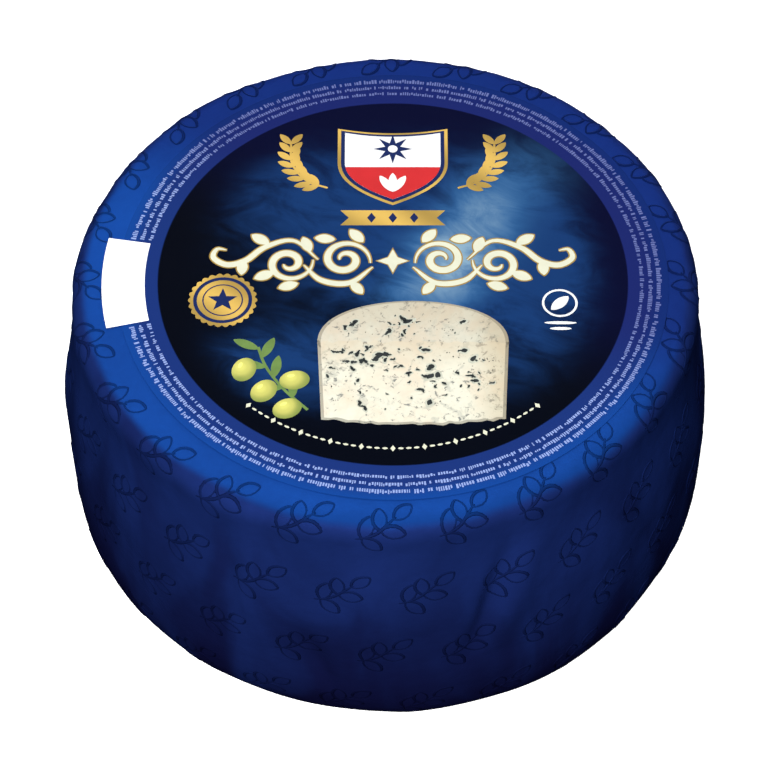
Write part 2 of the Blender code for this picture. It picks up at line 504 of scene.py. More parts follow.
    def points(self, turn, reach):
        """The foil's points: the turned profile, swollen, folded and in relief."""
        turn, reach = np.broadcast_arrays(turn, reach)
        radius = np.interp(reach, self.reach, self.radius)
        height = np.interp(reach, self.reach, self.height)
        slope_r = np.interp(reach, self.reach, np.gradient(self.radius, self.reach))
        slope_z = np.interp(reach, self.reach, np.gradient(self.height, self.reach))
        folded = self.folding(turn, height) * (radius > self.flat)
        grown = radius * (1.0 + self.swelling(turn, height)) + folded
        rise = self.relief(turn, reach, radius, height)
        grown = grown - slope_z * rise
        lifted = np.maximum(height + slope_r * rise, 0.0)
        return np.stack([grown * np.sin(turn), -grown * np.cos(turn), lifted], axis=-1)

    def normals(self, turn, reach):
        """Unit normals, as the cross product of two small steps on the foil."""
        step = 0.3 * MM
        mean_radius = 90.0 * MM
        aside = step / mean_radius
        down = self.points(turn, reach + step) - self.points(turn, reach - step)
        right = self.points(turn + aside, reach) - self.points(turn - aside, reach)
        return unit(np.cross(down, right))


# The label's form

class Label:
    """Places on the round label: x to the right and y away, from its middle."""

    def __init__(self, sizes, foil):
        self.sizes = sizes
        self.foil = foil
        self.x = 0.5 * (LABEL_LOW[0] + LABEL_HIGH[0])
        self.y = 0.5 * (LABEL_LOW[1] + LABEL_HIGH[1])
        self.radius = 0.5 * (LABEL_HIGH[0] - LABEL_LOW[0])

    def height(self, x, y, layer=0.0):
        """Height of the label's face, or of a printed layer on it.

        It follows the foil's dome, with ripples that grow towards the rim as a sum
        of three cosines round the label.
        """
        distance = np.hypot(x, y)
        turn = np.arctan2(x, -y)
        swell = smoothstep(0.55 * self.radius, 0.95 * self.radius, distance)
        wave = np.cos(9.0 * turn + 0.7) + 0.7 * np.cos(14.0 * turn + 2.0) + 0.5 * np.cos(23.0 * turn + 4.0)
        dome = self.foil.dome(np.hypot(x + self.x, y + self.y))
        return dome + self.sizes.lift + self.sizes.ripple * 0.5 * swell * wave + layer * self.sizes.ink

    def place(self, flat, layer=0.0):
        """Points in space for flat points on the label, in a printed layer."""
        x, y = flat[..., 0], flat[..., 1]
        return np.stack([x + self.x, y + self.y, self.height(x, y, layer)], axis=-1)

    def polar(self, turn, distance):
        """Flat points from a turn and a distance from the label's middle."""
        turn, distance = np.broadcast_arrays(turn, distance)
        return flat_points(distance * np.sin(turn), -distance * np.cos(turn))


def label_on_foil(scene):
    """The label on the foil, in the scene's sizes."""
    return Label(scene.cheese_label, Foil(scene.cheese_wheel))


class Print(Shape):
    """A shape printed on the label, as thin raised patches, lines and blocks."""

    def __init__(self, label):
        super().__init__()
        self.label = label

    def patch(self, outline, layer, rings=5):
        """Add a filled flat shape: its outline shrunk to its middle, ring by ring.

        The outline is a closed loop of flat points that its middle can see all of.
        The shape has a face, a thin edge one layer deep, and an underside.
        """
        if np.cross(outline, np.roll(outline, -1, axis=0)).sum() < 0.0:
            outline = outline[::-1]
        middle = 0.5 * (outline.min(axis=0) + outline.max(axis=0))
        under = layer - LAYER_DEPTH
        shares = np.concatenate([np.arange(1, rings + 1) / rings, [1.0, 0.5]])
        layers = np.concatenate([np.full(rings, layer), [under, under]])
        flat = middle + shares[:, None, None] * (outline - middle)
        points = np.stack([self.label.place(row, level) for row, level in zip(flat, layers)])
        top = self.label.place(middle, layer)
        bottom = self.label.place(middle, under)
        self.add_poled(top, points[:, ::-1], bottom)

    def stroke(self, path, half_width, layer, closed=False):
        """Add a flat line along a path, with one half width or one at each point."""
        direction = unit(strides(path, closed, 0))
        side = flat_points(-direction[:, 1], direction[:, 0]) * np.reshape(half_width, (-1, 1))
        under = layer - LAYER_DEPTH
        corners = [
            self.label.place(path + side, layer),
            self.label.place(path, layer),
            self.label.place(path - side, layer),
            self.label.place(path - side, under),
            self.label.place(path + side, under),
        ]
        self.add_tubes(np.stack(corners, axis=1)[None], closed)

    def circle(self, x, y, radius, half_width, layer, count=96):
        """Add a round line about a place."""
        self.stroke(moved(ellipse(radius, radius, count), x, y), half_width, layer, closed=True)

    def blocks(self, turn, width, inner, outer, layer):
        """Add small blocks on circles round the label, as arrays of places."""
        spread = (width / (0.5 * (inner + outer)))[:, None]
        turns = turn[:, None] + np.array([-0.5, 0.5, 0.5, -0.5]) * spread
        flat = self.label.polar(turns, np.stack([inner, inner, outer, outer], axis=-1))
        top = self.label.place(flat, layer)
        bottom = self.label.place(flat, layer - LAYER_DEPTH)
        points = np.concatenate([top, bottom], axis=1)
        start = 8 * np.arange(len(turn))[:, None]
        box = np.array([
            [0, 1, 2, 3], [7, 6, 5, 4], [0, 4, 5, 1], [1, 5, 6, 2], [2, 6, 7, 3], [3, 7, 4, 0],
        ])
        self.add(points.reshape(-1, 3), [start + face for face in box])


# Outlines on the label, in metres

def flat_points(x, y):
    """Flat points from their x and y."""
    return np.stack([x, y], axis=-1)


def ring_points(radius, turn):
    """Flat points about the origin, from their radius and angle."""
    return flat_points(radius * np.cos(turn), radius * np.sin(turn))


def moved(flat, x, y, angle=0.0, mirror=1.0):
    """Flat points turned by an angle, mirrored if asked, and moved to a place."""
    cosine, sine = math.cos(angle), math.sin(angle)
    right = flat[..., 0] * cosine - flat[..., 1] * sine
    away = flat[..., 0] * sine + flat[..., 1] * cosine
    return flat_points(mirror * (right + x), away + y)


def ellipse(half_width, half_height, count=72):
    """An ellipse round the origin."""
    return flat_points(half_width * np.cos(loop(count)), half_height * np.sin(loop(count)))


def leaf_outline(size, width, count=36):
    """A leaf from the origin along +x: a sine across, drawn to points at its ends."""
    turn = loop(count)
    along = 0.5 - 0.5 * np.cos(turn)
    return flat_points(size * along, width * np.sin(turn) * np.abs(np.sin(turn)) ** 0.6)


def star_outline(points, outer, inner):
    """A star: a ring of points, by turns at the outer and the inner radius."""
    radius = np.where(np.arange(2 * points) % 2 == 0, outer, inner)
    return ring_points(radius, loop(2 * points) + 0.5 * np.pi)


def scalloped(radius, scallops, depth, count=192):
    """A round seal whose edge waves in and out."""
    turn = loop(count)
    return ring_points(radius + depth * np.abs(np.cos(0.5 * scallops * turn)), turn)


def shield_outline(half_width, top, bottom, start=0.0, count=36):
    """A shield: sides that draw in as 1 - u^2.4 down to a point, under a dipped top.

    A start above 0 leaves only the part of the shield below that share of the way
    to its point, with a straight top.
    """
    share = np.linspace(start, 1.0, count)
    reach = half_width * (1.0 - share ** 2.4)
    right = flat_points(reach, -bottom * share)
    left = flat_points(-reach, -bottom * share)[::-1]
    if start > 0.0:
        return np.concatenate([right, left[1:]])
    across = np.linspace(-1.0, 1.0, count)
    brim = flat_points(half_width * across, top * (0.86 + 0.14 * across ** 2))
    return np.concatenate([right, left[1:], brim])


def curl(x, y, start_radius, end_radius, start, turns, count=60):
    """A spiral path whose radius shrinks evenly as it turns about a place."""
    share = np.linspace(0.0, 1.0, count)
    radius = start_radius + (end_radius - start_radius) * share ** 0.8
    turn = start + 2.0 * np.pi * turns * share
    return flat_points(x + radius * np.cos(turn), y + radius * np.sin(turn))


def smooth_path(knots, count=60):
    """A smooth path through knots in millimetres: a Catmull-Rom curve."""
    knots = np.array(knots) * MM
    padded = np.concatenate([[2 * knots[0] - knots[1]], knots, [2 * knots[-1] - knots[-2]]])
    place = np.linspace(0.0, len(knots) - 1.0, count)
    start = np.minimum(place.astype(int), len(knots) - 2)
    t = (place - start)[:, None]
    a, b, c, d = (padded[start + step] for step in range(4))
    square = (2 * a - 5 * b + 4 * c - d) * t ** 2
    cube = (3 * b - a - 3 * c + d) * t ** 3
    return 0.5 * (2 * b + (c - a) * t + square + cube)


# Materials

class Wire:
    """A node's output, which sums like a number and adds its Math nodes."""

    def __init__(self, finish, socket):
        self.finish = finish
        self.socket = socket

    def maths(self, operation, *values):
        """A Math node of an operation on numbers and wires."""
        return self.finish.node("ShaderNodeMath", {"operation": operation}, dict(enumerate(values)))

    def __add__(self, other):
        return self.maths("ADD", self, other)

    __radd__ = __add__

    def __mul__(self, other):
        return self.maths("MULTIPLY", self, other)

    __rmul__ = __mul__

    def __sub__(self, other):
        return self.maths("SUBTRACT", self, other)

    def __rsub__(self, other):
        return self.maths("SUBTRACT", other, self)

    def __truediv__(self, other):
        return self.maths("DIVIDE", self, other)

    def __pow__(self, other):
        return self.maths("POWER", self, other)

    def exp(self):
        """e to the power of this."""
        return self.maths("POWER", math.e, self)

    def within(self, low, high):
        """0 below low and 1 above high, with a smooth step between."""
        settings = {"interpolation_type": "SMOOTHSTEP"}
        inputs = {"Value": self, 1: low, 2: high, 3: 0.0, 4: 1.0}
        return self.finish.node("ShaderNodeMapRange", settings, inputs)


class Finish:
    """A material in the making, with one Principled shader."""

    def __init__(self, name, roughness, specular, metallic=0.0):
        self.material = bpy.data.materials.new(name)
        self.material.use_nodes = True
        self.tree = self.material.node_tree
        self.shader = self.tree.nodes["Principled BSDF"]
        self.set("Roughness", roughness)
        self.set("Metallic", metallic)
        self.set("Specular IOR Level", specular)

    def set(self, name, value):
        """Set one of the shader's sockets to a number, a colour or a wire."""
        self.fill(self.shader.inputs[name], value)

    def fill(self, socket, value):
        """Link a wire to a socket, or set the socket's own value."""
        if isinstance(value, Wire):
            self.tree.links.new(value.socket, socket)
        elif hasattr(value, "__len__") and len(value) == 3 and socket.type == "RGBA":
            socket.default_value = (*value, 1.0)
        else:
            socket.default_value = value

    def node(self, kind, settings=None, inputs=None, output=0):
        """Add a node: its settings first, then its sockets' values or wires."""
        made = self.tree.nodes.new(kind)
        for name, value in (settings or {}).items():
            setattr(made, name, value)
        for key, value in (inputs or {}).items():
            self.fill(made.inputs[key], value)
        return Wire(self, made.outputs[output])

    def place(self):
        """The x, y and z of Object coordinates, as three wires."""
        where = self.node("ShaderNodeTexCoord", output="Object")
        split = self.node("ShaderNodeSeparateXYZ", None, {0: where}).socket.node
        return [Wire(self, output) for output in split.outputs]

    def join(self, x, y, z):
        """A vector of three numbers or wires."""
        return self.node("ShaderNodeCombineXYZ", None, {0: x, 1: y, 2: z})

    def noise(self, scale, detail=3.0, roughness=0.5, distortion=0.0, where=None):
        """Noise from 0 to 1 over Object coordinates, at a scale per metre."""
        where = where or self.node("ShaderNodeTexCoord", output="Object")
        inputs = {
            "Vector": where, "Scale": scale, "Detail": detail, "Roughness": roughness,
            "Distortion": distortion,
        }
        return self.node("ShaderNodeTexNoise", None, inputs)

    def painted_far_shade(self):
        """0 at the front left and 1 at the back right: the mask of painted shade, where the top's blues
        are painted deeper.
        """
        x, y = self.place()[:2]
        wobble = (self.noise(24.0, 3.0) - 0.5) * 0.020
        return (y * 0.85 + x * 0.50 + wobble).within(-0.016, 0.030)

    def mix(self, share, first, second):
        """A blend of two colours, which a Mix node has at sockets 6, 7 and output 2."""
        inputs = {0: share, 6: first, 7: second}
        return self.node("ShaderNodeMix", {"data_type": "RGBA"}, inputs, output=2)

    def falloff(self, across, along):
        """1 where both wires are 0, falling away as exp(-(across^2 + along^2))."""
        return (0.0 - (across * across + along * along)).exp()

    def bump(self, height, distance, strength, normal=None):
        """A bump of a height wire, over a distance in metres."""
        inputs = {"Height": height, "Distance": distance, "Strength": strength}
        if normal is not None:
            inputs["Normal"] = normal
        return self.node("ShaderNodeBump", None, inputs)


def tinted(base, *shares):
    """A colour with each channel scaled by its own factor, up to 1."""
    return tuple(min(1.0, channel * share) for channel, share in zip(base, shares))


def shaded(base, share):
    """A colour made darker or lighter by one factor."""
    return tinted(base, share, share, share)


# Tint of the foil's glints
GLINT = (0.04, 0.05, 0.18, 1.0)

# Where the streaks of painted light and shade are cut from the noise, and how far they are drawn out
# upwards
STREAK_SHIFT = (0.05, -0.05, 0.02)
STREAK_STRETCH = 0.35


def foil_finish(colours, name="blue_foil", depth=1.0):
    """Satin lacquered foil, in painted light and shade: cobalt on top, blue on the side, navy at the base.

    The side's blue drifts between painted light and painted shade in tall soft streaks. The top is painted
    darker towards the back right, as painted shade, and a depth under 1 paints it all darker, as the
    painted shade of pressed lines.
    """
    finish = Finish(name, roughness=0.4, metallic=0.5, specular=0.03)
    finish.set("Specular Tint", GLINT)
    x, y, z = finish.place()
    cloud = finish.noise(26.0, 3.0, 0.55)
    fine = finish.noise(420.0, 4.0, 0.6, 0.4)
    right, back, up = STREAK_SHIFT
    tall = finish.join(x + right, y + back, z * STREAK_STRETCH + up)
    streak = finish.noise(34.0, 3.0, 0.5, 0.6, where=tall)
    drift = (cloud - 0.5) * 0.022
    # Painted shade: the side's blue darkens towards the base
    low = (z + drift).within(-0.005, 0.100)
    radius = (x * x + y * y) ** 0.5
    # Painted light: within the shoulder's edge the top is painted a brighter cobalt than the side
    on_top = (radius + drift * 0.10).within(0.0925, 0.0895)
    high = on_top * z.within(0.090, 0.098)
    navy = shaded(colours.foil_base, depth)
    side = finish.mix(low, navy, shaded(colours.foil_side, depth))
    # Painted light and painted shade in tall soft streaks over the side, fading near the base
    upright = 0.30 + 0.70 * z.within(0.002, 0.018)
    light = streak.within(0.42, 0.68) * upright * 0.55
    dark = streak.within(0.52, 0.30) * upright * 0.40
    side = finish.mix(light, side, shaded(colours.foil_side, 1.35 * depth))
    side = finish.mix(dark, side, navy)
    # Painted shade: the top's blue painted darker towards the back right
    far = shaded(colours.foil_far_shade, depth)
    top = finish.mix(finish.painted_far_shade(), shaded(colours.foil_top, depth), far)
    body = finish.mix(high, side, top)
    mottle = (cloud * 0.30 + fine * 0.16).within(0.10, 0.40)
    finish.set("Base Color", finish.mix(mottle * 0.22, body, shaded(colours.foil_base, 0.9)))
    finish.set("Roughness", 0.40 + 0.12 * cloud + 0.08 * (fine - 0.5))
    broad = finish.bump(finish.noise(55.0, 2.0, 0.5), 1.6 * MM, 0.45)
    finish.set("Normal", finish.bump(fine, 0.22 * MM, 0.40, broad))
    return finish.material


# Each soft pool on the label's disc: its strength, its middle and its half axes in
# millimetres
BLUE_POOLS = (
    (0.48, -30.0, 36.0, 26.0, 22.0),
    (0.80, -8.0, 14.0, 30.0, 24.0),
    (1.15, 34.0, 8.0, 30.0, 42.0),
    (0.85, -32.0, -34.0, 24.0, 15.0),
)
GLOW_POOLS = (
    (0.70, 17.0, 7.0, 13.0, 15.0),
    (0.42, 29.0, 27.0, 13.0, 16.0),
    (0.16, 43.0, 44.0, 16.0, 16.0),
    (0.28, 7.0, -8.0, 13.0, 10.0),
)


def label_finish(colours, label):
    """Satin printed paper: a navy disc with a soft glow, in an indigo border.

    Lengths here are in millimetres from the label's middle. Blue and glow are sums
    of soft pools, both broken up by brushed noise.
    """
    finish = Finish("label_print", roughness=0.42, specular=0.025)
    x, y = finish.place()[:2]
    right = (x - label.x) * MM_IN_METRE
    away = (y - label.y) * MM_IN_METRE
    distance = (right * right + away * away) ** 0.5
    slant = finish.join(right * 0.5 + away * 0.9, away * 0.55 - right * 0.3, 0.0)
    brushed = finish.noise(0.085, 5.0, 0.62, 1.1, where=slant)
    soft = finish.noise(22.0, 3.0, 0.5, 0.3)

    def pooled(pools):
        total = 0.0
        for strength, x_middle, y_middle, wide, tall in pools:
            pool = finish.falloff((right - x_middle) / wide, (away - y_middle) / tall)
            total = total + strength * pool
        return total

    stroke = brushed.within(0.28, 0.72)
    blue = pooled(BLUE_POOLS) * (0.55 + 0.90 * stroke) * distance.within(74.0, 52.0)
    glow = pooled(GLOW_POOLS) * (0.62 + 0.60 * stroke * (0.5 + soft))
    # Painted shade: the disc's edge, the border and the rim are painted darker towards the back right
    far = finish.painted_far_shade()
    night = finish.mix(far, colours.night, colours.night_far_shade)
    ground = finish.mix(blue.within(0.0, 1.0), night, colours.navy)
    haloed = finish.mix(glow.within(0.0, 0.42), ground, colours.halo)
    disc = finish.mix(glow.within(0.22, 1.0), haloed, colours.glow)
    border = finish.mix(far, colours.border, colours.border_far_shade)
    rim = finish.mix(far, colours.rim, colours.rim_far_shade)
    ring = finish.mix((distance + (soft - 0.5) * 3.0).within(76.5, 82.5), border, rim)
    disc_radius = label.sizes.disc_radius * MM_IN_METRE
    in_ring = distance.within(disc_radius - 0.25, disc_radius + 0.25)
    finish.set("Base Color", finish.mix(in_ring, disc, ring))
    finish.set("Roughness", 0.36 + 0.14 * soft)
    finish.set("Normal", finish.bump(finish.noise(900.0, 2.0), 0.06 * MM, 0.25))
    return finish.material


def ink_finish(name, base, spread=0.12, roughness=0.45, scale=180.0, far_shade_shares=None):
    """Printed ink: one colour that darkens a little in a fine mottle.

    With a share for each channel it is also painted fainter towards the back right, as painted shade.
    """
    finish = Finish(name, roughness, 0.12)
    mottle = finish.noise(scale, 3.0, 0.6)
    ink = finish.mix(mottle, shaded(base, 1.0 + spread), shaded(base, 1.0 - spread))
    if far_shade_shares:
        ink = finish.mix(finish.painted_far_shade(), ink, tinted(base, *far_shade_shares))
    finish.set("Base Color", ink)
    finish.set("Normal", finish.bump(mottle, 0.03 * MM, 0.3))
    return finish.material


def gold_finish(colours):
    """Printed gold: bright and dark bands that run slantwise."""
    finish = Finish("gold_ink", roughness=0.38, specular=0.15, metallic=0.3)
    x, y = finish.place()[:2]
    sway = finish.noise(40.0, 2.0)
    slant = (x * 0.8 + y + sway * 0.012) * 260.0
    wave = slant.maths("SINE", slant) * 0.5 + 0.5
    finish.set("Base Color", finish.mix(wave, shaded(colours.gold, 0.75), shaded(colours.gold, 1.35)))
    finish.set("Normal", finish.bump(finish.noise(700.0, 2.0), 0.03 * MM, 0.3))
    return finish.material


# Colours of the soft marbling in the cheese and of its small specks
MARBLING = (0.33, 0.34, 0.29)
SPECKS = (0.10, 0.11, 0.11)


def cheese_finish(name, base, middle, half, back):
    """Printed cheese paste: warm patches, curd grain and soft blue-grey marbling.

    It darkens towards the picture's right side, and from the middle's y towards
    the back's y.
    """
    finish = Finish(name, roughness=0.5, specular=0.12)
    x, y = finish.place()[:2]
    patch = finish.noise(70.0, 4.0, 0.6, 0.5)
    curd = finish.noise(420.0, 3.0, 0.6)
    marble = finish.noise(170.0, 5.0, 0.66, 1.6)
    speck = finish.noise(640.0, 3.0, 0.6, 0.8)
    warm = finish.mix(patch.within(0.35, 0.7), base, tinted(base, 0.98, 0.86, 0.80))
    paste = finish.mix(curd.within(0.35, 0.75) * 0.35, warm, shaded(base, 0.80))
    paste = finish.mix(marble.within(0.53, 0.64) * 0.55, paste, MARBLING)
    specks = speck.within(0.55, 0.63) * marble.within(0.47, 0.56) * 0.80
    paste = finish.mix(specks, paste, SPECKS)
    right = ((x - middle[0]) / half).within(0.50, 1.02)
    behind = (y - middle[1]).within(0.0, back - middle[1])
    paste = finish.mix(right * 0.55, paste, tinted(base, 0.62, 0.54, 0.42))
    paste = finish.mix(behind * 0.38, paste, tinted(base, 0.62, 0.52, 0.42))
    finish.set("Base Color", paste)
    finish.set("Normal", finish.bump(curd, 0.04 * MM, 0.4))
    return finish.material


def olive_finish(colours, label, fruit):
    """Printed olives: each has a light spot up and to the left of its middle.

    The spot falls away over a 300th of a metre.
    """
    finish = Finish("olive_ink", roughness=0.45, specular=0.12)
    x, y = finish.place()[:2]
    mottle = finish.noise(130.0, 3.0, 0.6)
    light = 0.0
    for across, away, _ in fruit:
        right = (x - (label.x + across * MM - 1.0 * MM)) * 300.0
        up = (y - (label.y + away * MM + 1.1 * MM)) * 300.0
        light = light + finish.falloff(right, up)
    light = light + (mottle - 0.5) * 0.25
    rim = tinted(colours.olive, 0.36, 0.48, 0.45)
    body = finish.mix(light.within(0.0, 0.62), rim, colours.olive)
    finish.set("Base Color", finish.mix(light.within(0.62, 1.0) * 0.6, body, shaded(colours.olive, 1.4)))
    return finish.material


def paper_finish(colours):
    """Bare white paper with a faint fibre."""
    finish = Finish("blank_paper", roughness=0.6, specular=0.2)
    fibre = finish.noise(260.0, 5.0, 0.65)
    cloud = finish.noise(45.0, 2.0)
    finish.set("Base Color", finish.mix(cloud * 0.6, colours.paper, shaded(colours.paper, 0.93)))
    finish.set("Normal", finish.bump(fibre, 0.05 * MM, 0.35))
    return finish.material


def floor_finish(colours):
    """A matt pale floor with a barely seen mottle."""
    finish = Finish("pale_floor", roughness=0.85, specular=0.15)
    mottle = finish.noise(6.0, 3.0)
    finish.set("Base Color", finish.mix(mottle, shaded(colours.floor, 0.985), shaded(colours.floor, 1.0)))
    finish.set("Emission Color", colours.floor)
    finish.set("Emission Strength", 0.65)
    return finish.material


# Operators

class CHEESE_OT_foil(Operator):
    """Wrap the wheel in foil, folded, puckered and gathered under its foot."""

    bl_idname = "cheese.foil"
    bl_label = "Foil"

    def execute(self, context):
        foil = Foil(context.scene.cheese_wheel)
        top_rows = np.linspace(0.0, foil.flat - 2.0 * MM, 9)[1:]
        shoulder_rows = np.arange(foil.flat - 1.0 * MM, foil.shoulder_reach + 7.0 * MM, 0.85 * MM)
        side_rows = np.arange(shoulder_rows[-1] + 1.1 * MM, foil.foot_reach - 4.0 * MM, 1.15 * MM)
        foot_rows = np.linspace(side_rows[-1] + 1.3 * MM, foil.end - 1.5 * MM, 44)
        reach = np.concatenate([top_rows, shoulder_rows, side_rows, foot_rows])
        rings = foil.points(loop(540)[None, :], reach[:, None])
        top = np.array([0.0, 0.0, foil.dome(0.0)])
        shape = Shape()
        shape.add_poled(top, rings, np.zeros(3))
        finish = foil_finish(context.scene.cheese_colours)
        dress(shape.piece("foil_wrap", finish), "blue_foil", "wrapped_wheel")
        return {"FINISHED"}


class CHEESE_OT_emboss(Operator):
    """Press rows of small sprigs into the foil."""

    bl_idname = "cheese.emboss"
    bl_label = "Pressed sprigs"

    # Each leaf: its place on the stem, its lean, and its length in half stems
    leaves = (
        (2, 1.05, 0.78), (2, -1.05, 0.78), (8, 0.95, 0.74), (8, -0.95, 0.74), (13, 0.0, 0.72),
    )

    # The ridge's section: across in line widths, and up in line heights
    section = np.array([[-0.5, -0.25], [-0.26, 0.68], [0.0, 1.0], [0.26, 0.68], [0.5, -0.25]])

    def execute(self, context):
        sizes = context.scene.cheese_emboss
        foil = Foil(context.scene.cheese_wheel)
        row = np.repeat(np.arange(sizes.rows), sizes.columns)
        column = np.tile(np.arange(sizes.columns), sizes.rows)
        turn = 2.0 * np.pi * (column + 0.5 * (row % 2)) / sizes.columns
        reach = sizes.first_reach + row * sizes.pitch
        shape = Shape()
        for flat, closed in self.draw_sprig(sizes):
            shape.add_tubes(self.press(foil, sizes, flat, turn, reach, closed), closed)
        # Painted shade: the pressed lines are the foil painted darker, as the shade in pressed grooves
        finish = foil_finish(context.scene.cheese_colours, "pressed_foil", 0.55)
        dress(shape.piece("pressed_sprigs", finish, 180.0), "blue_foil")
        return {"FINISHED"}

    def draw_sprig(self, sizes):
        """The flat paths of a sprig, and whether each is closed.

        The stem is a slow sine, with leaves in pairs along it and one at its tip.
        """
        half = sizes.half_length
        share = np.linspace(-1.0, 0.42, 15)
        stem = flat_points(half * share, 0.10 * half * np.sin(np.pi * share))
        paths = [(moved(stem, 0.0, 0.0, sizes.tilt), False)]
        for place, lean, size in self.leaves:
            along = heading(stem, place - 1, place + 1) + lean
            leaf = moved(leaf_outline(size * half, 0.22 * half, 15), *stem[place], along)
            paths.append((moved(leaf, 0.0, 0.0, sizes.tilt), True))
        return paths

    def press(self, foil, sizes, flat, turn, reach, closed):
        """A low rounded ridge carried along one flat path, at every sprig at once."""
        around = np.interp(reach, foil.reach, foil.radius)
        turns = turn[:, None] + flat[None, :, 0] / around[:, None]
        reaches = reach[:, None] - flat[None, :, 1]
        centre = foil.points(turns, reaches)
        up = foil.normals(turns, reaches)
        if closed:
            thin = 0.55 + 0.45 * np.maximum(np.sin(loop(len(flat))), 0.0) ** 0.6
        else:
            thin = 0.3 + 0.7 * np.sin(np.linspace(0.0, np.pi, len(flat))) ** 0.6
        side = unit(np.cross(up, strides(centre, closed, 1)))
        across = (sizes.line_width * thin[:, None] * self.section[:, 0])[None, :, :, None]
        over = (sizes.line_height * thin[:, None] * self.section[:, 1])[None, :, :, None]
        return centre[:, :, None] + side[:, :, None] * across + up[:, :, None] * over


class CHEESE_OT_label(Operator):
    """Lay the round label's paper and the blank date label on the top."""

    bl_idname = "cheese.label"
    bl_label = "Labels"

    def execute(self, context):
        sizes = context.scene.cheese_label
        colours = context.scene.cheese_colours
        label = label_on_foil(context.scene)
        face = np.linspace(0.0, label.radius, 36)[1:]
        under = np.linspace(label.radius, 0.0, 5)[:-1]
        depth = -sizes.thickness / sizes.ink
        distance = np.concatenate([face, under])
        layers = np.concatenate([np.zeros(len(face)), np.full(len(under), depth)])
        flat = label.polar(loop(240)[None, :], distance[:, None])
        rings = np.stack([label.place(row, layer) for row, layer in zip(flat, layers)])
        shape = Shape()
        middle = np.zeros(2)
        shape.add_poled(label.place(middle, 0.0), rings, label.place(middle, depth))
        dress(shape.piece("label_sheet", label_finish(colours, label)), "label_print", "top_label")

        turns = sizes.date_middle + np.linspace(-1.0, 1.0, 32) * sizes.date_half_angle
        inner = label.polar(turns, sizes.date_inner)
        outer = label.polar(turns[::-1], sizes.date_outer)
        right = label.polar(turns[-1], np.linspace(sizes.date_inner, sizes.date_outer, 10)[1:-1])
        left = label.polar(turns[0], np.linspace(sizes.date_outer, sizes.date_inner, 10)[1:-1])
        shape = Print(label)
        shape.patch(np.concatenate([inner, right, outer, left]), 4.0, rings=8)
        dress(shape.piece("date_field", paper_finish(colours)), "blank_paper", "date_label")
        return {"FINISHED"}


class CHEESE_OT_fine_print(Operator):
    """Print three rows of tiny plain blocks round the label's border."""

    bl_idname = "cheese.fine_print"
    bl_label = "Fine print"

    def execute(self, context):
        sizes = context.scene.cheese_label
        rng = np.random.default_rng(PRINT_SEED)
        shape = Print(label_on_foil(context.scene))
        gap = sizes.date_half_angle + 0.012
        # More blocks than a row can hold, of which those that fit are kept
        letters = 5000
        for row, tall in enumerate((1.25 * MM, 1.30 * MM, 1.55 * MM)):
            radius = sizes.first_row + row * sizes.row_pitch
            widths = rng.uniform(0.30, 0.66, letters) * MM
            spaces = np.where(rng.random(letters) < 0.17, rng.uniform(0.8, 1.3, letters), 0.28) * MM
            starts = np.cumsum(widths + spaces) - widths
            turns = sizes.date_middle + gap + (starts + 0.5 * widths) / radius
            inside = turns < sizes.date_middle + 2.0 * np.pi - gap
            turns, widths = turns[inside], widths[inside]
            low = np.where(rng.random(len(turns)) < 0.15, -0.28, 0.0) * tall
            high = np.where(rng.random(len(turns)) < 0.35, 1.0, 0.74) * tall
            base = radius - 0.5 * tall
            shape.blocks(turns, widths, base - low, base + high, 1.0)
        fine_ink = context.scene.cheese_colours.fine_ink
        # Painted shade: the fine print is painted fainter towards the back right
        finish = ink_finish("fine_ink", fine_ink, far_shade_shares=(0.46, 0.43, 0.56))
        dress(shape.piece("fine_print", finish), "label_print")
        return {"FINISHED"}


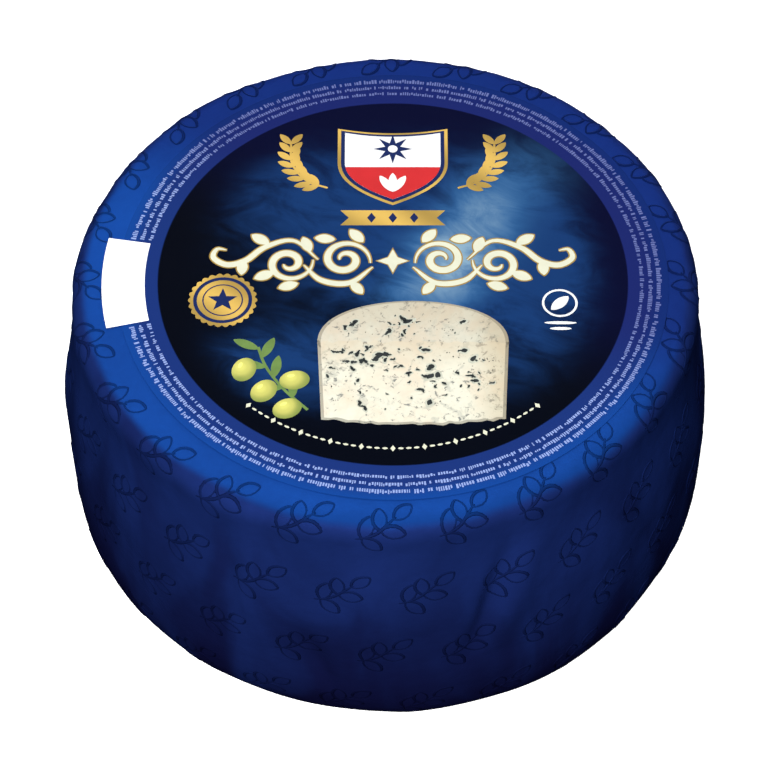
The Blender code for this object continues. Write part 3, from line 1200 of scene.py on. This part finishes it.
class CHEESE_OT_ornament(Operator):
    """Print the cream scroll across the label and the row of lozenges below."""

    bl_idname = "cheese.ornament"
    bl_label = "Scroll and lozenges"
    middle = 6.2 * MM

    # Knots of the tail and the garland, in millimetres
    tail = (
        (22.5, 0.5), (30.0, 8.0), (38.5, 5.6), (44.5, 0.2),
        (50.0, -1.4), (54.2, 1.4), (53.2, 4.8), (50.2, 4.4),
    )
    garland = ((6.0, -2.4), (13.0, -8.6), (21.5, -7.6), (27.0, -1.5))

    # Each leaf: its place and length in millimetres, and its direction
    leaves = (
        (9.0, 7.4, 6.4, 0.9), (17.5, 8.5, 6.2, 0.1), (25.0, 3.6, 6.2, 1.2), (37.5, 6.8, 6.4, 0.6),
        (45.2, 0.6, 6.0, -1.5), (28.5, -8.8, 6.2, -0.3), (35.8, -4.4, 6.4, -0.4),
        (12.5, -8.2, 5.8, -2.2),
    )

    def execute(self, context):
        colours = context.scene.cheese_colours
        label = label_on_foil(context.scene)
        cream, rim = Print(label), Print(label)
        for mirror in (-1.0, 1.0):
            self.add_scroll(rim, mirror, 0.42 * MM, 1.0)
            self.add_scroll(cream, mirror, 0.0, 2.0)
        star = star_outline(4, 4.6 * MM, 2.0 * MM)
        rim.patch(moved(1.16 * star, 0.0, self.middle), 1.0)
        cream.patch(moved(star, 0.0, self.middle), 2.0)
        self.add_lozenges(cream)
        cream_ink = ink_finish("cream_ink", colours.cream, 0.10)
        rim_ink = ink_finish("rim_ink", shaded(colours.gold, 0.62), 0.2)
        dress(cream.piece("cream_scroll", cream_ink), "label_print")
        dress(rim.piece("scroll_rim", rim_ink), "label_print")
        return {"FINISHED"}

    def add_scroll(self, shape, mirror, grow, layer):
        """Add half the scroll: two curls, a tail, a garland and leaves along them."""
        swell = np.sin(np.linspace(0.06, np.pi - 0.02, 60)) ** 0.7
        paths = (
            (curl(14.5 * MM, 0.6 * MM, 7.9 * MM, 1.5 * MM, np.pi * 1.06, -1.55), 1.15 * MM),
            (curl(31.5 * MM, -0.9 * MM, 7.6 * MM, 1.4 * MM, np.pi * 0.94, 1.50), 1.10 * MM),
            (smooth_path(self.tail), 1.00 * MM),
            (smooth_path(self.garland), 0.95 * MM),
        )
        for rank, (path, width) in enumerate(paths):
            flat = moved(path, 0.0, self.middle, 0.0, mirror)
            shape.stroke(flat, width * swell + grow, layer + 0.15 * rank)
        for x, away, size, lean in self.leaves:
            outline = leaf_outline(size * MM + 2.4 * grow, 0.27 * size * MM + grow)
            right = x * MM - 1.2 * grow * math.cos(lean)
            behind = away * MM - 1.2 * grow * math.sin(lean)
            outline = moved(outline, right, behind, lean)
            shape.patch(moved(outline, 0.0, self.middle, 0.0, mirror), layer + 0.7, rings=3)

    def add_lozenges(self, shape):
        """Add dashes with a lozenge after every third, in an arc near the disc's edge."""
        lozenge = star_outline(2, 1.15 * MM, 0.75 * MM)
        dash = ellipse(0.80 * MM, 0.36 * MM, 16)
        for rank, turn in enumerate(np.radians(np.linspace(-41.0, 41.0, 41))):
            outline = dash if rank % 4 else lozenge
            centre = shape.label.polar(turn, 64.6 * MM)
            shape.patch(moved(outline, *centre, turn), 1.0, rings=2)


class CHEESE_OT_emblem(Operator):
    """Print the shield, its side sprigs, the small ribbon, the seal and the mark."""

    bl_idname = "cheese.emblem"
    bl_label = "Emblem and seal"
    shield_y = 46.5 * MM

    def execute(self, context):
        colours = context.scene.cheese_colours
        label = label_on_foil(context.scene)
        gold, white, navy, red = (Print(label) for _ in range(4))
        self.add_shield(gold, white, navy, red)
        self.add_side_sprigs(gold)
        self.add_ribbon(gold, navy)
        self.add_seal(gold, navy)
        self.add_mark(white)
        white_ink = ink_finish("white_ink", shaded(colours.paper, 0.70), 0.04)
        navy_ink = ink_finish("navy_ink", shaded(colours.border, 0.55))
        dress(gold.piece("gold_print", gold_finish(colours)), "label_print")
        dress(white.piece("white_print", white_ink), "label_print")
        dress(navy.piece("navy_print", navy_ink), "label_print")
        dress(red.piece("red_print", ink_finish("red_ink", colours.red)), "label_print")
        return {"FINISHED"}

    def add_shield(self, gold, white, navy, red):
        """Add a white shield with a red foot, a navy star and a white flower."""
        half, top, bottom = 17.0 * MM, 13.5 * MM, 18.0 * MM
        for shape, share, layer in ((gold, 1.0, 1.0), (navy, 0.94, 2.0), (white, 0.87, 3.0)):
            outline = shield_outline(share * half, share * top, share * bottom)
            shape.patch(moved(outline, 0.0, self.shield_y), layer)
        foot = shield_outline(0.87 * half, 0.0, 0.87 * bottom, 0.16)
        star_y = self.shield_y + 5.0 * MM
        red.patch(moved(foot, 0.0, self.shield_y), 4.0)
        navy.patch(moved(star_outline(8, 6.0 * MM, 2.5 * MM), 0.0, star_y), 4.0)
        white.patch(moved(ellipse(1.5 * MM, 1.5 * MM, 24), 0.0, star_y), 5.0)
        petal = leaf_outline(7.6 * MM, 1.35 * MM)
        for rank, lean in enumerate((-0.55, 0.0, 0.55)):
            outline = moved(petal, 0.0, self.shield_y - 12.6 * MM, 0.5 * np.pi + lean)
            white.patch(outline, 5.0 + 0.3 * rank, rings=3)

    def add_side_sprigs(self, gold):
        """Add a gold sprig on each side of the shield, each leaf in a layer of its own."""
        stem = smooth_path(((20.0, -11.0), (26.5, -8.0), (31.0, -1.0), (31.5, 8.0)))
        leaf = leaf_outline(5.4 * MM, 1.15 * MM)
        for mirror in (-1.0, 1.0):
            gold.stroke(moved(stem, 0.0, self.shield_y, 0.0, mirror), 0.35 * MM, 1.0)
            for place in range(8, 60, 7):
                along = heading(stem, place - 3, place)
                for lean, rise in ((-0.7, 0.0), (0.7, 0.3)):
                    outline = moved(leaf, *stem[place], along + lean)
                    outline = moved(outline, 0.0, self.shield_y, 0.0, mirror)
                    gold.patch(outline, 1.4 + 0.02 * place + rise, rings=3)

    def add_ribbon(self, gold, navy):
        """Add a short gold bar with notched ends and three lozenges on it."""
        y = 23.4 * MM
        corners = np.array([
            (-16.0, -3.0), (16.0, -3.0), (13.4, 0.0), (16.0, 3.0), (-16.0, 3.0), (-13.4, 0.0),
        ])
        gold.patch(moved(corners * MM, 0.0, y), 1.0)
        for x in (-6.5 * MM, 0.0, 6.5 * MM):
            navy.patch(moved(star_outline(2, 2.0 * MM, 1.3 * MM), x, y), 2.0, rings=2)

    def add_seal(self, gold, navy):
        """Add a gold seal with a waved edge, two navy rings and a star."""
        x, y = -51.0 * MM, -9.0 * MM
        gold.patch(moved(scalloped(9.6 * MM, 26, 0.8 * MM), x, y), 1.0)
        navy.circle(x, y, 8.3 * MM, 0.55 * MM, 2.0)
        navy.circle(x, y, 5.9 * MM, 0.2 * MM, 2.0)
        navy.patch(moved(star_outline(5, 4.6 * MM, 1.9 * MM), x, y), 2.0)

    def add_mark(self, white):
        """Add a small white ring with a leaf in it and two short bars under it."""
        x, y = 50.0 * MM, -10.0 * MM
        white.circle(x, y, 5.0 * MM, 0.35 * MM, 1.0, 72)
        leaf = leaf_outline(7.4 * MM, 1.7 * MM)
        white.patch(moved(leaf, x - 2.6 * MM, y - 2.6 * MM, 0.25 * np.pi), 1.0)
        for drop, reach in ((7.6 * MM, 4.8 * MM), (9.8 * MM, 3.2 * MM)):
            white.patch(moved(ellipse(reach, 0.55 * MM, 32), x, y - drop), 1.0, rings=2)


class CHEESE_OT_picture(Operator):
    """Print the half wheel of cheese with its veins, and olives with leaves."""

    bl_idname = "cheese.picture"
    bl_label = "Cheese picture"
    centre = (6.0 * MM, -39.0 * MM)
    half = 27.5 * MM
    tall = 14.0 * MM
    deep = 15.0 * MM

    # Each olive: its place in millimetres, and its direction
    fruit = ((-31.0, -50.0, 0.5), (-38.0, -43.5, 0.9), (-29.0, -39.5, 0.2), (-44.0, -35.5, 1.2))

    def execute(self, context):
        colours = context.scene.cheese_colours
        label = label_on_foil(context.scene)
        rind, face, top, veins, bloom, olives, leaves, gleam = (Print(label) for _ in range(8))
        self.add_half_wheel(rind, face, top)
        self.add_veins(veins, bloom)
        self.add_olives(olives, leaves, gleam)
        middle = (label.x + self.centre[0], label.y + self.centre[1])
        brow = middle[1] + self.tall
        back = brow + self.deep
        for shape, name, share, y, end in (
            (rind, "cheese_rind", 0.55, middle[1], back),
            (face, "cheese_face", 1.0, middle[1], brow),
            (top, "cheese_top", 0.84, brow, back),
        ):
            paste = shaded(colours.paste, share)
            finish = cheese_finish(name, paste, (middle[0], y), self.half, end)
            dress(shape.piece(name, finish), "label_print")
        for shape, name, finish in (
            (bloom, "cheese_bloom", ink_finish("bloom_ink", colours.bloom, 0.3, 0.5, 500.0)),
            (veins, "cheese_veins", ink_finish("vein_ink", colours.vein, 0.5, 0.5, 500.0)),
            (olives, "olives_print", olive_finish(colours, label, self.fruit)),
            (gleam, "olives_gleam", ink_finish("gleam_ink", shaded(colours.olive, 1.7), 0.1)),
            (leaves, "leaves_print", ink_finish("leaf_ink", colours.leaf, 0.35, 0.45, 220.0)),
        ):
            dress(shape.piece(name, finish), "label_print")
        return {"FINISHED"}

    def add_half_wheel(self, rind, face, top):
        """Add the cut face with its broken edge, the half-round top and the rind.

        The face is a little narrower at its foot, which sags by a parabola, and the
        top is half an ellipse on it.
        """
        rng = np.random.default_rng(FACE_SEED)
        half, tall, deep = self.half, self.tall, self.deep
        share = np.linspace(-1.0, 1.0, 60)
        ragged = np.interp(share, np.linspace(-1, 1, 31), rng.uniform(-0.80, 0.80, 31)) * MM
        up = np.linspace(-1.0, 1.0, 14)[1:-1]
        sag = 0.6 * ragged - 2.2 * MM * (1.0 - share ** 2)
        lower = flat_points(0.95 * half * share, -tall + sag)
        upper = flat_points(half * share[::-1], tall + ragged)
        right = flat_points(half * (1.0 - 0.05 * (1.0 - up) / 2.0), tall * up)
        left = right[::-1] * np.array([-1.0, 1.0])
        outline = np.concatenate([lower, right, upper, left])
        arc = np.linspace(0.0, np.pi, 60)
        bow = (deep + 1.0 * MM) * np.sin(arc) ** 0.85
        back = flat_points(half * np.cos(arc), tall - 1.0 * MM + bow)
        front = flat_points(half * share, np.full(60, tall - 3.0 * MM))
        crown = np.concatenate([back, front[1:-1]])
        rind.patch(moved(outline * np.array([1.035, 1.05]), *self.centre), 1.0, rings=8)
        rind.patch(moved(crown * np.array([1.035, 1.02]), *self.centre), 1.0, rings=6)
        top.patch(moved(crown, *self.centre), 2.0, rings=6)
        face.patch(moved(outline, *self.centre), 3.0, rings=8)

    def add_veins(self, veins, bloom):
        """Add dark veins with a pale bloom, thickest in bands, and fewer on the top."""
        rng = np.random.default_rng(VEIN_SEED)
        half, tall, deep = self.half, self.tall, self.deep
        for rank in range(150):
            band = rng.choice((-0.55, 0.10, 0.50, 0.72), p=(0.18, 0.25, 0.27, 0.3)) * tall
            place = (rng.uniform(-0.93, 0.93) * half, band + rng.normal(0.0, 0.22) * tall)
            if abs(place[1]) < 0.88 * tall:
                self.add_vein(veins, bloom, rng, place, rng.gamma(1.6, 0.22) * MM, rank)
        for rank in range(34):
            turn = rng.uniform(0.1, np.pi - 0.1)
            share = rng.uniform(0.1, 0.82)
            back = tall + 1.6 * MM + share * deep * 0.84 * math.sin(turn)
            place = (share * half * math.cos(turn), back)
            self.add_vein(veins, bloom, rng, place, rng.gamma(1.6, 0.17) * MM, rank)

    def add_vein(self, veins, bloom, rng, place, size, rank):
        """Add one vein: a short wandering chain of soft uneven blots, each smaller."""
        size = min(max(size, 0.15 * MM), 0.95 * MM)
        turn = loop(12)
        x, y = self.centre[0] + place[0], self.centre[1] + place[1]
        course = rng.uniform(-np.pi, np.pi)
        for blot in range(rng.integers(1, 6) if size > 0.3 * MM else 1):
            reach = 1.0 + sum(
                rng.uniform(-0.16, 0.16) * np.cos(k * turn + rng.uniform(0.0, 6.3)) for k in (2, 3, 4)
            )
            wide = rng.uniform(1.0, 1.5)
            outline = ring_points(size * reach, turn) * np.array([wide, 0.8])
            outline = moved(outline, 0.0, 0.0, course)
            level = 0.004 * rank + 0.0008 * blot
            veins.patch(moved(outline, x, y), 5.0 + level, rings=1)
            if size > 0.26 * MM:
                bloom.patch(moved(1.7 * outline, x, y - 0.10 * MM), 3.9 + level, rings=1)
            course += rng.normal(0.0, 0.75)
            x += 1.5 * size * math.cos(course)
            y += 0.9 * size * math.sin(course)
            size *= rng.uniform(0.62, 0.95)

    def add_olives(self, olives, leaves, gleam):
        """Add a sprig: narrow leaves along a stem, with olives beside it."""
        stem = smooth_path(((-25.0, -50.5), (-32.0, -43.0), (-37.5, -34.5), (-40.0, -27.0)))
        leaves.stroke(stem, 0.45 * MM, 1.0)
        for rank, place in enumerate(range(12, 60, 9)):
            along = heading(stem, place - 3, place) + (0.85 if rank % 2 else -0.75)
            leaves.patch(moved(leaf_outline(8.4 * MM, 1.5 * MM), *stem[place], along), 1.4, rings=3)
        for x, y, lean in self.fruit:
            olive = moved(ellipse(4.5 * MM, 3.5 * MM, 40), x * MM, y * MM, lean)
            spot = moved(ellipse(1.1 * MM, 0.55 * MM, 20), (x - 1.1) * MM, (y + 1.6) * MM, lean)
            olives.patch(olive, 2.4, rings=4)
            gleam.patch(spot, 3.4, rings=2)


class CHEESE_OT_stage(Operator):
    """Set the pale floor, the soft lights and the camera."""

    bl_idname = "cheese.stage"
    bl_label = "Stage"
    floor_half = 4.0

    # Each light: its name and place, its width, height and power, and whether it
    # shows in matt and in glossy surfaces
    lights = (
        ("key", (-0.24, -1.25, 1.45), 1.2, 1.0, 82.0, True, False),
        ("card", (0.0, 1.05, 1.35), 2.4, 1.5, 14.0, False, True),
        ("back", (0.1, 1.50, 0.32), 1.6, 0.5, 38.0, True, False),
    )

    # The camera: its elevation, its distance and what it looks at, with the shift of
    # its aim that frames the wheel as the photograph does
    elevation = math.radians(52.1)
    distance = 1.203
    centre = Vector((0.0, 0.0, 0.047))
    aim_up = 5.3 * MM
    aim_left = 0.56 * MM

    def execute(self, context):
        scene = context.scene
        shape = Shape()
        corners = np.array([(-1.0, -1.0, 0.0), (1.0, -1.0, 0.0), (1.0, 1.0, 0.0), (-1.0, 1.0, 0.0)])
        shape.add(self.floor_half * corners, [np.array([[0, 1, 2, 3]])])
        floor = shape.piece("floor", floor_finish(scene.cheese_colours))
        floor.visible_diffuse = False
        floor.visible_glossy = False
        self.add_camera(scene)
        for light in self.lights:
            self.add_light(*light)
        self.add_world(scene)
        scene.view_settings.view_transform = "Standard"
        return {"FINISHED"}

    def add_camera(self, scene):
        """Place a long lens where the photograph was taken from."""
        back = Vector((0.0, -math.cos(self.elevation), math.sin(self.elevation)))
        up = Vector((0.0, math.sin(self.elevation), math.cos(self.elevation)))
        data = bpy.data.cameras.new("camera")
        data.lens = 180.0
        data.sensor_width = 36.0
        data.clip_start = 0.05
        camera = bpy.data.objects.new("camera", data)
        camera.location = self.centre + self.distance * back
        aim = self.centre + self.aim_up * up - Vector((self.aim_left, 0.0, 0.0))
        camera.rotation_euler = (aim - camera.location).to_track_quat("-Z", "Y").to_euler()
        scene.collection.objects.link(camera)
        scene.camera = camera

    def add_world(self, scene):
        """Surround the wheel with even light above and little from below."""
        world = bpy.data.worlds.new("soft_studio")
        world.use_nodes = True
        tree = world.node_tree
        where = tree.nodes.new("ShaderNodeTexCoord")
        split = tree.nodes.new("ShaderNodeSeparateXYZ")
        fade = tree.nodes.new("ShaderNodeMapRange")
        fade.inputs[1].default_value = -0.25
        fade.inputs[2].default_value = 0.15
        fade.inputs[3].default_value = 0.12
        fade.inputs[4].default_value = 0.52
        tree.links.new(where.outputs["Generated"], split.inputs[0])
        tree.links.new(split.outputs[2], fade.inputs[0])
        tree.links.new(fade.outputs[0], tree.nodes["Background"].inputs["Strength"])
        scene.world = world

    def add_light(self, name, place, width, height, power, diffuse, glossy):
        """Add a soft area light aimed at the wheel, unseen by the camera."""
        data = bpy.data.lights.new(name, "AREA")
        data.shape = "RECTANGLE"
        data.size = width
        data.size_y = height
        data.energy = power
        light = bpy.data.objects.new(name, data)
        light.location = place
        aim = Vector((0.0, 0.0, 0.06)) - light.location
        light.rotation_euler = aim.to_track_quat("-Z", "Y").to_euler()
        light.visible_camera = False
        light.visible_diffuse = diffuse
        light.visible_glossy = glossy
        bpy.context.scene.collection.objects.link(light)


OPERATORS = (
    CHEESE_OT_foil,
    CHEESE_OT_emboss,
    CHEESE_OT_label,
    CHEESE_OT_fine_print,
    CHEESE_OT_ornament,
    CHEESE_OT_emblem,
    CHEESE_OT_picture,
    CHEESE_OT_stage,
)


class CHEESE_PT_panel(Panel):
    """The sidebar panel that lists the pieces."""

    bl_idname = "CHEESE_PT_panel"
    bl_label = "Cheese Wheel"
    bl_space_type = "VIEW_3D"
    bl_region_type = "UI"
    bl_category = "Cheese Wheel"

    def draw(self, context):
        for operator in OPERATORS:
            self.layout.operator(operator.bl_idname)


GROUPS = {
    "cheese_wheel": WheelSizes,
    "cheese_emboss": EmbossSizes,
    "cheese_label": LabelSizes,
    "cheese_colours": WheelColours,
}


def register():
    """Register the properties, the operators and the panel."""
    for name, group in GROUPS.items():
        bpy.utils.register_class(group)
        setattr(bpy.types.Scene, name, PointerProperty(type=group))
    for operator in OPERATORS:
        bpy.utils.register_class(operator)
    bpy.utils.register_class(CHEESE_PT_panel)


def unregister():
    """Take the panel, the operators and the properties away again."""
    bpy.utils.unregister_class(CHEESE_PT_panel)
    for operator in reversed(OPERATORS):
        bpy.utils.unregister_class(operator)
    for name, group in reversed(GROUPS.items()):
        delattr(bpy.types.Scene, name)
        bpy.utils.unregister_class(group)


def main():
    """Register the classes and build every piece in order."""
    register()
    bpy.ops.cheese.foil()
    bpy.ops.cheese.emboss()
    bpy.ops.cheese.label()
    bpy.ops.cheese.fine_print()
    bpy.ops.cheese.ornament()
    bpy.ops.cheese.emblem()
    bpy.ops.cheese.picture()
    bpy.ops.cheese.stage()


if __name__ == "__main__":
    main()
